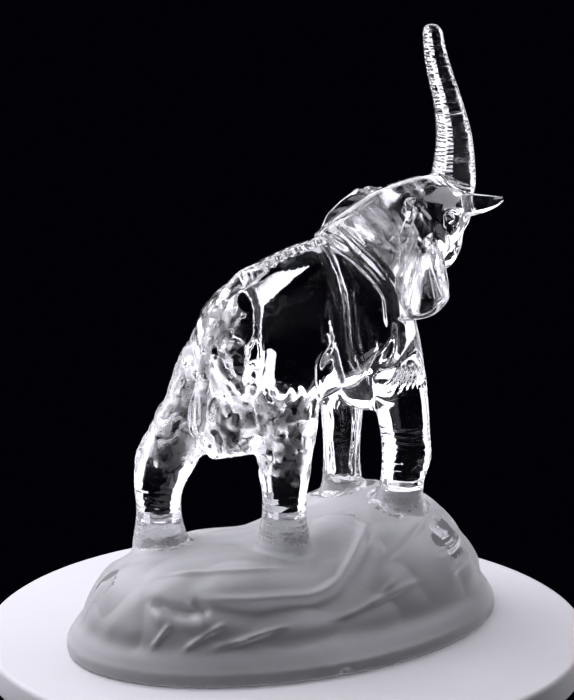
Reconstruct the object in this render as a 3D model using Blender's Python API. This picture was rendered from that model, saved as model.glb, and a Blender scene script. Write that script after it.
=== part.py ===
"""Clear crystal elephant with a raised trunk, walking over a frosted oval mound.

The animal looks along -Y and its right side is -X. The flat underside of the mound lies on Z = 0, with the
origin in the middle of that oval. Lengths below are millimetres, and MM turns them into metres.
Places on the animal are given as side (its left is +), ahead (towards its face) and up.
"""

import math

import bmesh
import bpy
from mathutils import Vector

MM = 0.001

# Driving dimensions
BASE_HALF_LENGTH = 91.0
BASE_HALF_WIDTH = 60.5
RIM_HEIGHT = 5.0
RIM_BEVEL = 1.4
REAR_CREST = 38.0  # height of the mound's top under the hind feet
CREST_RISE = 13.5  # how much higher it is under the front feet
CLIMB_START = -10.0  # where the top begins to rise, ahead of the middle
CLIMB_LENGTH = 58.0
SIDE_POWER, FRONT_POWER, REAR_POWER = 2.9, 6.0, 8.0  # the higher, the steeper the shoulder on that side
SHOULDER_ROUND = 1.25
BOND_GAP = 0.3  # between two bonded faces
MOUND_RINGS = (0.08, 0.22, 0.34, 0.46, 0.57, 0.67, 0.75, 0.82, 0.88, 0.93, 0.97, 0.992, 1.0)
REFRACTION = 1.54
RING_SIDES = 32
VOXEL = 1.8
SMOOTHING_PASSES = 5
ANIMAL_TRIANGLES = 6400
WELD = 1e-7  # metres
SHARP_ANGLE = 50

# One limb is a list of level rings: side, ahead, up, half length, half width
HIND_LEFT_LEG = (
    (13, -9, 121, 20, 13),
    (15, -17, 109, 20.5, 14),
    (16, -24, 96, 17, 13.5),
    (17, -31.5, 87, 15, 12.5),
    (17.3, -38, 77, 13.3, 12.8),
    (17.5, -43.2, 68, 11.8, 11.4),
    (18, -45.9, 60, 9.8, 10),
    (18, -46.3, 53, 8.7, 8.9),
    (18, -46, 46, 9.2, 9.3),
    (18, -45.6, 39, 10.6, 10.6),
    (18, -45.4, 28, 11.8, 11.8),
)
HIND_RIGHT_LEG = (
    (-13, -8, 120, 17, 13),
    (-14, -9, 107, 16, 14),
    (-14.5, -9.5, 96, 14.5, 13),
    (-15, -9, 86, 12.3, 12),
    (-14.7, -9, 76, 10.8, 11.2),
    (-14.8, -9.2, 66, 9.5, 9.7),
    (-15, -9.5, 58, 8.6, 8.7),
    (-15, -9.5, 50, 8.8, 8.9),
    (-15, -9.5, 42, 10.2, 10.2),
    (-15, -9.5, 28, 11.4, 11.4),
)
FRONT_LEFT_LEG = (
    (13, 28, 124, 13, 12),
    (14, 31, 108, 12.5, 12),
    (14, 33.5, 95, 10.8, 10.6),
    (14, 34.6, 83, 8.7, 8.8),
    (14, 34.8, 72, 7.6, 7.8),
    (14, 34.8, 62, 7.2, 7.4),
    (14, 35, 54, 7.6, 7.8),
    (14, 35.3, 46, 9, 9),
    (14, 35.5, 34, 10.2, 10.2),
)
FRONT_RIGHT_LEG = (
    (-14, 34, 124, 14, 12.5),
    (-14.5, 37.8, 112, 12.8, 12.5),
    (-14.5, 41.3, 100, 11.8, 11.5),
    (-14.5, 44.4, 86, 10.6, 10.4),
    (-14.5, 46.2, 74, 9.8, 9.8),
    (-14.5, 46.8, 65, 9.9, 9.7),
    (-14.5, 45, 57, 8.7, 8.9),
    (-14.5, 44, 51, 9.2, 9.3),
    (-14.5, 43.8, 44, 10.6, 10.6),
    (-14.5, 43.8, 34, 11.4, 11.4),
)
GROIN = (
    (0, -18, 108, 17, 19),
    (0, -20, 92, 17, 17),
    (1, -22, 83, 15, 16),
    (1.5, -23.5, 77, 12.5, 14.5),
    (2, -24.5, 74.5, 9, 10.5),
    (2, -25, 73.4, 5, 6),
)
BREAST = (
    (0, 35, 112, 16, 18),
    (0, 36.5, 98, 14, 15),
    (0, 37.5, 90, 11, 12),
    (0, 38, 85, 7.5, 8.5),
    (0, 38, 83, 4, 4),
)
# Where the frost ends and the clear casting stands: a name, the leg and the height
ANKLES = (
    ("hind_left", HIND_LEFT_LEG, 47),
    ("hind_right", HIND_RIGHT_LEG, 51.5),
    ("front_left", FRONT_LEFT_LEG, 51.5),
    ("front_right", FRONT_RIGHT_LEG, 54),
)
ANKLE_REACH = 14.5  # half side of the box that trims a leg at its ankle

# The barrel is a list of upright rings: ahead, top, bottom, half width
BARREL = (
    (-36.5, 119, 105, 6),
    (-34, 127.5, 97, 13),
    (-28, 136.5, 89, 19),
    (-19, 141.5, 84, 23),
    (-8, 147, 83, 25.5),
    (5, 151, 88, 26.5),
    (18, 153.5, 93, 26.5),
    (30, 157.5, 97, 25.5),
    (40, 158, 98, 22.5),
    (48, 153, 103, 17.5),
    (53.5, 145, 109, 11.5),
    (56, 136, 119, 6),
)
# Neck and skull: ahead, up, half height, half width, and the lean of the ring back from upright in degrees
SKULL = (
    (26, 132, 24, 19, 40),
    (35, 140.5, 23, 18.5, 36),
    (43, 146.5, 21, 17.5, 32),
    (51, 151.5, 19.6, 17, 28),
    (59, 155, 18.2, 16.5, 25),
    (66, 158, 16.2, 15, 22),
    (73, 160.5, 13.4, 12.6, 20),
    (79, 161.8, 9.4, 9, 20),
    (82, 162.3, 4.6, 4.6, 20),
)
JAW = (
    (0, 68.5, 156, 10, 10),
    (0, 70.5, 150, 9.8, 8.8),
    (0, 71.5, 145, 9, 7.2),
    (0, 71.8, 140.5, 7.2, 5.8),
    (0, 71.5, 137, 5, 4.2),
    (0, 70.8, 134.8, 2.4, 2),
)
TRUNK = (
    (0, 75.5, 164, 9.6, 9.2),
    (0, 76.6, 170, 9.4, 8.8),
    (0, 77.2, 176, 8.5, 8.2),
    (0, 77.4, 183, 7.6, 7.5),
    (0, 76.8, 190, 6.9, 6.8),
    (0, 75.2, 197.5, 6.1, 6.1),
    (0, 72.9, 205, 5.6, 5.6),
    (0, 70.3, 212.5, 5.1, 5.1),
    (0, 68.2, 219.5, 4.6, 4.7),
    (0, 66.9, 225.5, 4.1, 4.3),
    (0, 66.3, 229.8, 3.8, 4),
    (0, 66.2, 231.8, 2.8, 3),
    (0, 66.2, 232.6, 1.6, 1.8),
)
TUSK = (  # for the left side: side, ahead, up, radius
    (7, 71, 161.5, 5),
    (9, 77.5, 161.8, 4.6),
    (11.6, 83, 162.2, 3.6),
    (13.6, 87.5, 162.9, 2.3),
    (14.8, 90.6, 163.8, 0.9),
)
TAIL = (  # side, ahead, up, radius
    (0, -12, 142.5, 4.4),
    (-1, -20, 140.5, 3.9),
    (-2.5, -28.5, 133.5, 3.3),
    (-3.5, -34.5, 122.5, 2.9),
    (-3, -37, 111.5, 2.7),
    (-1.5, -37.6, 101.5, 3.1),
    (0, -38.6, 92.5, 3.8),
    (1, -38.8, 86, 3),
    (1.5, -38.4, 82, 1),
)
# The left ear's free edge, from the crown round to the cheek, and the line where it joins the head
EAR_EDGE = (
    (11, 50, 168),
    (15.5, 46.5, 166.3),
    (20, 42.6, 163),
    (25.5, 37.2, 157),
    (29, 34, 150.5),
    (31, 31.7, 143.5),
    (32.5, 30.6, 137.3),
    (33.5, 32, 131),
    (35, 36, 126.6),
    (36, 43, 127.6),
    (36.2, 49.5, 132.8),
    (33.5, 50.3, 139),
    (28, 50.4, 145.6),
    (20.5, 52, 151.5),
    (13, 56, 155),
)
EAR_ROOT_TOP = (3, 53, 162)
EAR_ROOT_BOTTOM = (4, 58, 153)
EAR_THICKNESS = 3.6
EAR_ROWS = 4
EAR_HOLLOW = 3.5  # how far the ear is dished towards the face

# Bonded joints: a point on the plane and the way it faces, both as (side, ahead, up)
NECK_JOINT = ((0, 46, 149), (0, 0.88, 0.48))
TRUNK_JOINT = ((0, 76.5, 170.5), (0, 0.45, 0.89))


def place(side, ahead, up):
    """A point on the animal, as a world position."""
    return Vector((side, -ahead, up)) * MM


def clear_scene():
    for obj in list(bpy.data.objects):
        bpy.data.objects.remove(obj, do_unlink=True)


def material(name, colour, roughness, transmission):
    made = bpy.data.materials.new(name)
    made.use_nodes = True
    shader = made.node_tree.nodes["Principled BSDF"]
    shader.inputs["Base Color"].default_value = (*colour, 1.0)
    shader.inputs["Roughness"].default_value = roughness
    shader.inputs["Metallic"].default_value = 0.0
    shader.inputs["Transmission Weight"].default_value = transmission
    shader.inputs["IOR"].default_value = REFRACTION
    return made


def new_object(name, bm):
    mesh = bpy.data.meshes.new(name)
    bmesh.ops.recalc_face_normals(bm, faces=bm.faces)
    bm.to_mesh(mesh)
    bm.free()
    obj = bpy.data.objects.new(name, mesh)
    bpy.context.scene.collection.objects.link(obj)
    return obj


def helper(obj):
    """Marks a cutter or guide, which isn't part of the figurine."""
    obj.hide_render = True
    obj.display_type = "WIRE"
    return obj


def copy_of(obj, name):
    copy = bpy.data.objects.new(name, obj.data.copy())
    bpy.context.scene.collection.objects.link(copy)
    return copy


def apply_modifiers(obj):
    """Replaces the mesh with what the modifiers make of it."""
    bpy.context.view_layer.update()
    made = bpy.data.meshes.new_from_object(obj.evaluated_get(bpy.context.evaluated_depsgraph_get()))
    old, obj.data = obj.data, made
    obj.modifiers.clear()
    bpy.data.meshes.remove(old)


def oval(bm, centre, first, second):
    """A closed ring of vertices round the ellipse with these two half axes."""
    turns = (2 * math.pi * k / RING_SIDES for k in range(RING_SIDES))
    return [bm.verts.new(centre + first * math.cos(t) + second * math.sin(t)) for t in turns]


def skin(bm, rings):
    """A closed skin over rings that follow each other, with both ends capped."""
    for near, far in zip(rings, rings[1:]):
        for k in range(RING_SIDES):
            after = (k + 1) % RING_SIDES
            bm.faces.new((near[k], near[after], far[after], far[k]))
    bm.faces.new(rings[0])
    bm.faces.new(rings[-1])


def limb(bm, levels):
    """A leg or other upright shape through level rings."""
    skin(bm, [oval(bm, place(side, ahead, up), Vector((0, length, 0)) * MM, Vector((width, 0, 0)) * MM)
              for side, ahead, up, length, width in levels])


def barrel(bm):
    skin(bm, [oval(bm, place(0, ahead, (top + bottom) / 2), Vector((0, 0, top - bottom)) / 2 * MM,
                   Vector((width, 0, 0)) * MM)
              for ahead, top, bottom, width in BARREL])


def skull(bm):
    rings = []
    for ahead, up, height, width, lean in SKULL:
        upright = Vector((0, math.sin(math.radians(lean)), math.cos(math.radians(lean))))
        rings.append(oval(bm, place(0, ahead, up), upright * height * MM, Vector((width, 0, 0)) * MM))
    skin(bm, rings)


def horn(bm, route, mirror=1):
    """A round tapering tube along a route of side, ahead, up and radius."""
    points = [place(side * mirror, ahead, up) for side, ahead, up, _ in route]
    rings = []
    for k, (point, stop) in enumerate(zip(points, route)):
        along = (points[min(k + 1, len(points) - 1)] - points[max(k - 1, 0)]).normalized()
        across = along.cross(Vector((1, 0, 0))).normalized()
        rings.append(oval(bm, point, across * stop[3] * MM, along.cross(across) * stop[3] * MM))
    skin(bm, rings)


def whole_animal():
    """Barrel, skull, legs, jaw and trunk run into one smooth skin, which the bonded joints then divide."""
    bm = bmesh.new()
    barrel(bm)
    skull(bm)
    for levels in (HIND_LEFT_LEG, HIND_RIGHT_LEG, FRONT_LEFT_LEG, FRONT_RIGHT_LEG, GROIN, BREAST,
                   JAW, TRUNK):
        limb(bm, levels)
    animal = helper(new_object("whole_animal", bm))
    remesh = animal.modifiers.new("One skin", "REMESH")
    remesh.mode = "VOXEL"
    remesh.voxel_size = VOXEL * MM
    smooth = animal.modifiers.new("Soft joints", "SMOOTH")
    smooth.factor = 0.5
    smooth.iterations = SMOOTHING_PASSES
    apply_modifiers(animal)
    thin = animal.modifiers.new("Facets", "DECIMATE")
    thin.ratio = ANIMAL_TRIANGLES / (2 * len(animal.data.polygons))
    apply_modifiers(animal)
    return animal


def slice_off(obj, joint, front):
    """Keeps what lies in front of a joint, or behind it, and closes the cut half a bond gap from the plane."""
    point, facing = joint
    normal = place(*facing).normalized() * (1 if front else -1)
    bm = bmesh.new()
    bm.from_mesh(obj.data)
    bmesh.ops.bisect_plane(bm, geom=[*bm.verts, *bm.edges, *bm.faces], dist=WELD,
                           plane_co=place(*point) + normal * BOND_GAP / 2 * MM,
                           plane_no=normal, clear_inner=True)
    bmesh.ops.holes_fill(bm, edges=[edge for edge in bm.edges if edge.is_boundary])
    bmesh.ops.recalc_face_normals(bm, faces=bm.faces)
    bm.to_mesh(obj.data)
    bm.free()


def combine(obj, other, operation):
    step = obj.modifiers.new(other.name, "BOOLEAN")
    step.object = other
    step.operation = operation
    step.solver = "EXACT"
    apply_modifiers(obj)


def swollen(obj):
    """A hidden copy grown by the bond gap, which trims whatever is bonded to the first."""
    copy = helper(copy_of(obj, obj.name + "_bond"))
    grow = copy.modifiers.new("Bond gap", "DISPLACE")
    grow.strength = BOND_GAP * MM
    grow.mid_level = 0
    apply_modifiers(copy)
    return copy


def block(name, centre, low, high):
    """A square block round one ankle, between two heights."""
    bm = bmesh.new()
    bmesh.ops.create_cube(bm, size=1)
    bmesh.ops.scale(bm, verts=bm.verts, vec=Vector((2 * ANKLE_REACH, 2 * ANKLE_REACH, high - low)) * MM)
    bmesh.ops.translate(bm, verts=bm.verts, vec=Vector((centre.x, centre.y, (low + high) / 2 * MM)))
    return helper(new_object(name, bm))


def largest_only(obj):
    """Drops the crumbs that a trim leaves behind."""
    bm = bmesh.new()
    bm.from_mesh(obj.data)
    bmesh.ops.remove_doubles(bm, verts=bm.verts, dist=WELD)
    waiting, groups = set(bm.verts), []
    while waiting:
        group = [waiting.pop()]
        for vert in group:
            linked = {edge.other_vert(vert) for edge in vert.link_edges} & waiting
            waiting -= linked
            group.extend(linked)
        groups.append(group)
    groups.sort(key=len)
    bmesh.ops.delete(bm, geom=[vert for group in groups[:-1] for vert in group], context="VERTS")
    bm.to_mesh(obj.data)
    bm.free()


def mound_height(side, ahead):
    """Height of the mound's skin: a steep shoulder all round, and a top that climbs to the front."""
    across, along = side / BASE_HALF_WIDTH, ahead / BASE_HALF_LENGTH
    reach = min(1.0, math.hypot(across, along))
    end_power = FRONT_POWER if ahead > 0 else REAR_POWER
    power = SIDE_POWER + (end_power - SIDE_POWER) * (along / reach) ** 2
    climb = min(1.0, max(0.0, (ahead - CLIMB_START) / CLIMB_LENGTH))
    crest = REAR_CREST + CREST_RISE * climb * climb * (3 - 2 * climb)
    return RIM_HEIGHT + (crest - RIM_HEIGHT) * (1 - reach ** power) ** SHOULDER_ROUND


def make_base(animal):
    """The frosted mound, with the four frosted ankles that the clear casting stands on."""
    def base_oval(bm, share, inset=0.0, height=0.0):
        return oval(bm, Vector((0, 0, height * MM)), Vector((0, BASE_HALF_LENGTH * share - inset, 0)) * MM,
                    Vector((BASE_HALF_WIDTH * share - inset, 0, 0)) * MM)

    bm = bmesh.new()
    rings = [base_oval(bm, share) for share in MOUND_RINGS]
    for ring in rings:
        for vert in ring:
            vert.co.z = mound_height(vert.co.x / MM, -vert.co.y / MM) * MM
    skin(bm, [*rings, base_oval(bm, 1, height=RIM_BEVEL), base_oval(bm, 1, inset=RIM_BEVEL)])
    base = new_object("base", bm)
    for name, levels, frost_line in ANKLES:
        stump = helper(copy_of(animal, name + "_ankle"))
        combine(stump, block(name + "_keep", place(*levels[-2][:3]), 0, frost_line - BOND_GAP), "INTERSECT")
        combine(base, stump, "UNION")
    return base


def make_body(animal):
    body = copy_of(animal, "body")
    slice_off(body, NECK_JOINT, front=False)
    for name, levels, frost_line in ANKLES:
        combine(body, block(name + "_trim", place(*levels[-2][:3]), 0, frost_line), "DIFFERENCE")
    largest_only(body)
    return body


def make_head(animal):
    head = copy_of(animal, "head")
    slice_off(head, NECK_JOINT, front=True)
    slice_off(head, TRUNK_JOINT, front=False)
    largest_only(head)
    return head


def make_trunk(animal):
    trunk = copy_of(animal, "trunk")
    slice_off(trunk, TRUNK_JOINT, front=True)
    largest_only(trunk)
    return trunk


def make_ear(name, mirror, head_cutter):
    """A dished leaf from its root line inside the head out to its free edge, trimmed to the head's side."""
    bm = bmesh.new()
    grid = []
    for k, edge in enumerate(EAR_EDGE):
        along = k / (len(EAR_EDGE) - 1)
        root = Vector(EAR_ROOT_TOP).lerp(Vector(EAR_ROOT_BOTTOM), along)
        line = []
        for row in range(EAR_ROWS + 1):
            out = row / EAR_ROWS
            side, ahead, up = root.lerp(Vector(edge), out)
            dish = EAR_HOLLOW * math.sin(math.pi * out) * math.sin(math.pi * along)
            line.append(bm.verts.new(place(side * mirror, ahead + dish, up)))
        grid.append(line)
    for first, second in zip(grid, grid[1:]):
        for row in range(EAR_ROWS):
            bm.faces.new((first[row], first[row + 1], second[row + 1], second[row]))
    ear = new_object(name, bm)
    thicken = ear.modifiers.new("Leaf", "SOLIDIFY")
    thicken.thickness = EAR_THICKNESS * MM
    thicken.offset = 0
    rounded = ear.modifiers.new("Soft edge", "SUBSURF")
    rounded.levels = rounded.render_levels = 1
    apply_modifiers(ear)
    combine(ear, head_cutter, "DIFFERENCE")
    largest_only(ear)
    return ear


def make_horn(name, route, mirror, cutter):
    """A tusk or the tail, trimmed to the surface that it is bonded to."""
    bm = bmesh.new()
    horn(bm, route, mirror)
    piece = new_object(name, bm)
    combine(piece, cutter, "DIFFERENCE")
    largest_only(piece)
    return piece


def main():
    clear_scene()
    animal = whole_animal()
    body, head, trunk = make_body(animal), make_head(animal), make_trunk(animal)
    face_bond, rump_bond = swollen(animal), swollen(body)
    pieces = [body, head, trunk]
    for name, mirror in (("left", 1), ("right", -1)):
        pieces.append(make_ear(name + "_ear", mirror, face_bond))
        pieces.append(make_horn(name + "_tusk", TUSK, mirror, face_bond))
    pieces.append(make_horn("tail", TAIL, 1, rump_bond))
    base = make_base(animal)

    clear_glass = material("clear_crystal", (0.97, 0.98, 0.98), 0.02, 1.0)
    frosted_glass = material("frosted_crystal", (0.86, 0.87, 0.88), 0.55, 0.8)
    for piece in (*pieces, base):
        piece.data.materials.clear()
        piece.data.materials.append(frosted_glass if piece is base else clear_glass)
        piece.data.shade_smooth()
        piece.data.set_sharp_from_angle(angle=math.radians(SHARP_ANGLE))


main()
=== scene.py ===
"""Looks for the crystal elephant that walks over its frosted mound.

The animal looks along -Y and its right side is -X. Places on it are given in millimetres as side (its
left is +), ahead (towards its face) and up, and MM turns them into metres.
"""

import math

import bpy
import numpy as np
from bpy.props import FloatProperty, FloatVectorProperty, IntProperty, PointerProperty
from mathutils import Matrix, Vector, noise


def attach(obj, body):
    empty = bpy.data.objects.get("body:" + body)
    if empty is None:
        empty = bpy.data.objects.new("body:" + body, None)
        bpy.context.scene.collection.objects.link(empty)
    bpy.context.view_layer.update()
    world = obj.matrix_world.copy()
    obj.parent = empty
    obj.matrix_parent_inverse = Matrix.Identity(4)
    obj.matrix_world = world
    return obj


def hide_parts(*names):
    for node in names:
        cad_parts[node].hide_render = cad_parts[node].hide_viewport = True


bl_info = {
    "name": "Crystal elephant figurine",
    "version": (1, 0, 0),
    "blender": (4, 5, 0),
    "location": "3D View > Sidebar > Figurine",
    "description": "Builds a clear crystal elephant on a frosted mound, piece by piece",
    "category": "Object",
}

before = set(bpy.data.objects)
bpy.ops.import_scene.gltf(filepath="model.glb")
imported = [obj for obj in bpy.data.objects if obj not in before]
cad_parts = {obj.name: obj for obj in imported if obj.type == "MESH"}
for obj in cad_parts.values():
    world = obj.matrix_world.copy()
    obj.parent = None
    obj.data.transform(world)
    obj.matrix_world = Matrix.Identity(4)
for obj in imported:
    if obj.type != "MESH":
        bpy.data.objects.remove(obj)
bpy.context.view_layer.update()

MM = 0.001
BODY_NAME = "root"  # the figurine has no joints, so everything rides on one body

# Rings of each limb: side, ahead, up, half length, half width
HIND_LEFT_LEG = (
    (13, -9, 121, 20, 13),
    (15, -17, 109, 20.5, 14),
    (16, -24, 96, 17, 13.5),
    (17, -31.5, 87, 15, 12.5),
    (17.3, -38, 77, 13.3, 12.8),
    (17.5, -43.2, 68, 11.8, 11.4),
    (18, -45.9, 60, 9.8, 10),
    (18, -46.3, 53, 8.7, 8.9),
    (18, -46, 46, 9.2, 9.3),
    (18, -45.6, 39, 10.6, 10.6),
    (18, -45.4, 28, 11.8, 11.8),
)
HIND_RIGHT_LEG = (
    (-13, -8, 120, 17, 13),
    (-14, -9, 107, 16, 14),
    (-14.5, -9.5, 96, 14.5, 13),
    (-15, -9, 86, 12.3, 12),
    (-14.7, -9, 76, 10.8, 11.2),
    (-14.8, -9.2, 66, 9.5, 9.7),
    (-15, -9.5, 58, 8.6, 8.7),
    (-15, -9.5, 50, 8.8, 8.9),
    (-15, -9.5, 42, 10.2, 10.2),
    (-15, -9.5, 28, 11.4, 11.4),
)
FRONT_LEFT_LEG = (
    (13, 28, 124, 13, 12),
    (14, 31, 108, 12.5, 12),
    (14, 33.5, 95, 10.8, 10.6),
    (14, 34.6, 83, 8.7, 8.8),
    (14, 34.8, 72, 7.6, 7.8),
    (14, 34.8, 62, 7.2, 7.4),
    (14, 35, 54, 7.6, 7.8),
    (14, 35.3, 46, 9, 9),
    (14, 35.5, 34, 10.2, 10.2),
)
FRONT_RIGHT_LEG = (
    (-14, 34, 124, 14, 12.5),
    (-14.5, 37.8, 112, 12.8, 12.5),
    (-14.5, 41.3, 100, 11.8, 11.5),
    (-14.5, 44.4, 86, 10.6, 10.4),
    (-14.5, 46.2, 74, 9.8, 9.8),
    (-14.5, 46.8, 65, 9.9, 9.7),
    (-14.5, 45, 57, 8.7, 8.9),
    (-14.5, 44, 51, 9.2, 9.3),
    (-14.5, 43.8, 44, 10.6, 10.6),
    (-14.5, 43.8, 34, 11.4, 11.4),
)
GROIN = (
    (0, -18, 108, 17, 19),
    (0, -20, 92, 17, 17),
    (1, -22, 83, 15, 16),
    (1.5, -23.5, 77, 12.5, 14.5),
    (2, -24.5, 74.5, 9, 10.5),
    (2, -25, 73.4, 5, 6),
)
BREAST = (
    (0, 35, 112, 16, 18),
    (0, 36.5, 98, 14, 15),
    (0, 37.5, 90, 11, 12),
    (0, 38, 85, 7.5, 8.5),
    (0, 38, 83, 4, 4),
)
JAW = (
    (0, 68.5, 156, 10, 10),
    (0, 70.5, 150, 9.8, 8.8),
    (0, 71.5, 145, 9, 7.2),
    (0, 71.8, 140.5, 7.2, 5.8),
    (0, 71.5, 137, 5, 4.2),
    (0, 70.8, 134.8, 2.4, 2),
)
TRUNK = (
    (0, 75.5, 164, 9.6, 9.2),
    (0, 76.6, 170, 9.4, 8.8),
    (0, 77.2, 176, 8.5, 8.2),
    (0, 77.4, 183, 7.6, 7.5),
    (0, 76.8, 190, 6.9, 6.8),
    (0, 75.2, 197.5, 6.1, 6.1),
    (0, 72.9, 205, 5.6, 5.6),
    (0, 70.3, 212.5, 5.1, 5.1),
    (0, 68.2, 219.5, 4.6, 4.7),
    (0, 66.9, 225.5, 4.1, 4.3),
    (0, 66.4, 228.8, 3.9, 4.1),
    (0, 66.2, 230.8, 3.2, 3.4),
    (0, 66.2, 231.9, 2.1, 2.2),
    (0, 66.2, 232.3, 0.8, 0.9),
)
# The barrel's upright rings: ahead, top, bottom, half width
BARREL = (
    (-36.5, 119, 105, 6),
    (-34, 127.5, 97, 13),
    (-28, 136.5, 89, 19),
    (-19, 141.5, 84, 23),
    (-8, 147, 83, 25.5),
    (5, 151, 88, 26.5),
    (18, 153.5, 93, 26.5),
    (30, 157.5, 97, 25.5),
    (40, 158, 98, 22.5),
    (48, 153, 103, 17.5),
    (53.5, 145, 109, 11.5),
    (56, 136, 119, 6),
)
# Neck and skull: ahead, up, half height, half width, and how many degrees the ring leans back
SKULL = (
    (26, 132, 24, 19, 40),
    (35, 140.5, 23, 18.5, 36),
    (43, 146.5, 21, 17.5, 32),
    (51, 151.5, 19.6, 17, 28),
    (59, 155, 18.2, 16.5, 25),
    (66, 158, 16.2, 15, 22),
    (73, 160.5, 13.4, 12.6, 20),
    (79, 161.8, 9.4, 9, 20),
    (82, 162.3, 4.6, 4.6, 20),
)
TUSK = (  # for the left side: side, ahead, up, radius
    (7, 71, 161.5, 5),
    (9, 77.5, 161.8, 4.6),
    (11.6, 83, 162.2, 3.6),
    (13.6, 87.5, 162.9, 2.3),
    (14.8, 90.6, 163.8, 0.9),
)
TAIL = (  # side, ahead, up, radius
    (0, -12, 142.5, 4.4),
    (-1, -20, 140.5, 3.9),
    (-2.5, -28.5, 133.5, 3.3),
    (-3.5, -34.5, 122.5, 2.9),
    (-3, -37, 111.5, 2.7),
    (-1.5, -37.6, 101.5, 3.1),
    (0, -38.6, 92.5, 3.8),
    (1, -38.8, 86, 3),
    (1.5, -38.4, 82, 1),
)
LEGS = (HIND_LEFT_LEG, HIND_RIGHT_LEG, FRONT_LEFT_LEG, FRONT_RIGHT_LEG)
LIMBS = (*LEGS, GROIN, BREAST, JAW, TRUNK)
# The left ear's free edge, from the crown round to the cheek, and the line where it joins the head
EAR_EDGE = (
    (11, 50, 168),
    (15.5, 46.5, 166.3),
    (20, 42.6, 163),
    (25.5, 37.2, 157),
    (29, 34, 150.5),
    (31, 31.7, 143.5),
    (32.5, 30.6, 137.3),
    (33.5, 32, 131),
    (35, 36, 126.6),
    (36, 43, 127.6),
    (36.2, 49.5, 132.8),
    (33.5, 50.3, 139),
    (28, 50.4, 145.6),
    (20.5, 52, 151.5),
    (13, 56, 155),
)
EAR_ROOT_TOP = (3, 53, 162)
EAR_ROOT_BOTTOM = (4, 58, 153)

# Bonded joints: a point on the plane and the way it faces, both as (side, ahead, up)
NECK_JOINT = ((0, 46, 149), (0, 0.88, 0.48))
TRUNK_JOINT = ((0, 76.5, 170.5), (0, 0.45, 0.89))
BOND_LAP = 0.12  # the faces of two bonded pieces overlap by this much, so that no air film shows
# Middle of each ankle (side, ahead) and the height where its frost ends
ANKLES = {
    "hind_left": (18, -45.6, 47),
    "hind_right": (-15, -9.5, 51.5),
    "front_left": (14, 35.3, 51.5),
    "front_right": (-14.5, 43.8, 54),
}
ANKLE_REACH = 14.5
CUT_BAND = 4  # how far past the frost line the trim at an ankle looks for faces
LIMB_SIDES = 64
LIMB_CUTS = 4
LEAST_RADIUS = 0.3  # no ring of a limb is drawn smaller than this
SHADE_ANGLE = 50  # edges sharper than this many degrees stay sharp

# The mound
BASE_HALF_LENGTH = 91.0
BASE_HALF_WIDTH = 60.5
RIM_HEIGHT = 5.0
RIM_BEVEL = 1.4
REAR_CREST = 38.0
CREST_RISE = 13.5
CLIMB_START = -10.0
CLIMB_LENGTH = 58.0
SIDE_POWER, FRONT_POWER, REAR_POWER = 2.9, 6.0, 8.0
SHOULDER_ROUND = 1.25


# ---------------------------------------------------------------- points, curves and sculpting

def place(side, ahead, up):
    """A point on the animal, as a world position in metres."""
    return Vector((side, -ahead, up)) * MM


def smooth_rows(rows, cuts=6):
    """The same rows with cuts - 1 more between each two, on a smooth curve through every column."""
    rows = np.array(rows, float)
    ends = np.vstack((2 * rows[0] - rows[1], rows, 2 * rows[-1] - rows[-2]))
    share = (np.arange(cuts) / cuts)[:, None]
    made = [0.5 * (2 * b + (c - a) * share + (2 * a - 5 * b + 4 * c - d) * share ** 2
                   + (3 * b - a - 3 * c + d) * share ** 3)
            for a, b, c, d in zip(ends, ends[1:], ends[2:], ends[3:])]
    return np.vstack((*made, rows[-1:]))


def ellipse(centre, first, second, sides):
    """Points round the ellipse with these two half axes, in millimetres as side, ahead, up."""
    turn = np.arange(sides) * 2 * math.pi / sides
    return np.asarray(centre) + np.outer(np.cos(turn), first) + np.outer(np.sin(turn), second)


def level_ring(row, sides):
    """A level ring of a limb, from its row of side, ahead, up, half length and half width."""
    length, width = (max(half, LEAST_RADIUS) for half in row[3:])
    return ellipse(row[:3], (0, length, 0), (width, 0, 0), sides)


def tube_rings(route, sides, cuts=8, mirror=1):
    """Rings square to a route of side, ahead, up and radius."""
    rows = smooth_rows(route, cuts)
    rows[:, 0] *= mirror
    along = np.gradient(rows[:, :3], axis=0)
    rings = []
    for row, way in zip(rows, along):
        way = way / np.linalg.norm(way)
        across = np.cross(way, (1.0, 0.0, 0.0))
        across /= np.linalg.norm(across)
        rings.append(ellipse(row[:3], across * row[3], np.cross(way, across) * row[3], sides))
    return rings


def select_only(obj):
    """Selects this object and nothing else, and makes it the active one."""
    bpy.ops.object.select_all(action="DESELECT")
    bpy.context.view_layer.objects.active = obj
    obj.select_set(True)


def edit_all():
    """Enters edit mode with everything selected."""
    bpy.ops.object.mode_set(mode="EDIT")
    bpy.ops.mesh.select_all(action="SELECT")


def to_world(points):
    """Millimetres as side, ahead, up to metres as x, y, z."""
    return np.asarray(points, float) * (MM, -MM, MM)


def move_points(obj, points):
    """Puts the mesh's points at these places, given as side, ahead, up."""
    obj.data.vertices.foreach_set("co", to_world(points).astype(np.float32).ravel())
    obj.data.update()


def skin_rings(name, groups):
    """One object with a closed skin over each group of rings."""
    every_ring = [ring for rings in groups for ring in rings]
    bpy.ops.object.select_all(action="DESELECT")
    bpy.ops.mesh.primitive_circle_add(vertices=len(every_ring[0]), radius=MM)
    obj = bpy.context.object
    obj.name = name
    bpy.ops.object.mode_set(mode="EDIT")
    for ring in every_ring[1:]:
        bpy.ops.mesh.primitive_circle_add(vertices=len(ring), radius=MM)
    bpy.ops.object.mode_set(mode="OBJECT")
    move_points(obj, np.concatenate(every_ring))
    start = 0
    for rings in groups:
        count = sum(len(ring) for ring in rings)
        skin_group(obj, start, count, len(rings[0]))
        start += count
    return obj


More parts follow.
